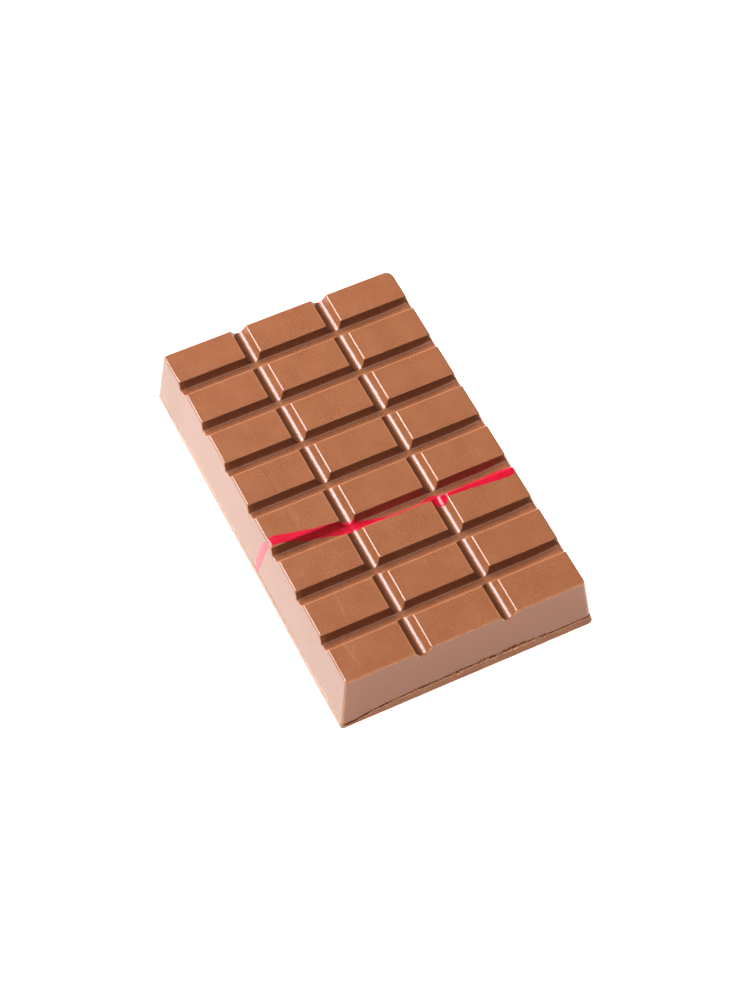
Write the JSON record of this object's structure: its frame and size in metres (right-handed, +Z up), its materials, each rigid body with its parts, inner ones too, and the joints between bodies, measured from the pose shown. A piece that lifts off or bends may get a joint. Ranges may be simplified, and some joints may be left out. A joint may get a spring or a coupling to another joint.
{
  "type": "chocolate bar",
  "caption": "Moulded block of milk chocolate, scored by U-shaped grooves into pieces that snap off, on a thin flat backing layer.",
  "frame": {"origin": "middle of the flat underside", "axes": "+Z up through the grooved face, +Y along the bar's eight rows of pieces, +X across its three columns"},
  "size_m": [0.0602, 0.0958, 0.0154],
  "materials": {
    "milk_chocolate": "satin",
    "backing_chocolate": "matt"
  },
  "bodies": {
    "root": {"moulded_body": "milk_chocolate", "backing_layer": "backing_chocolate"}
  },
  "joints": []
}
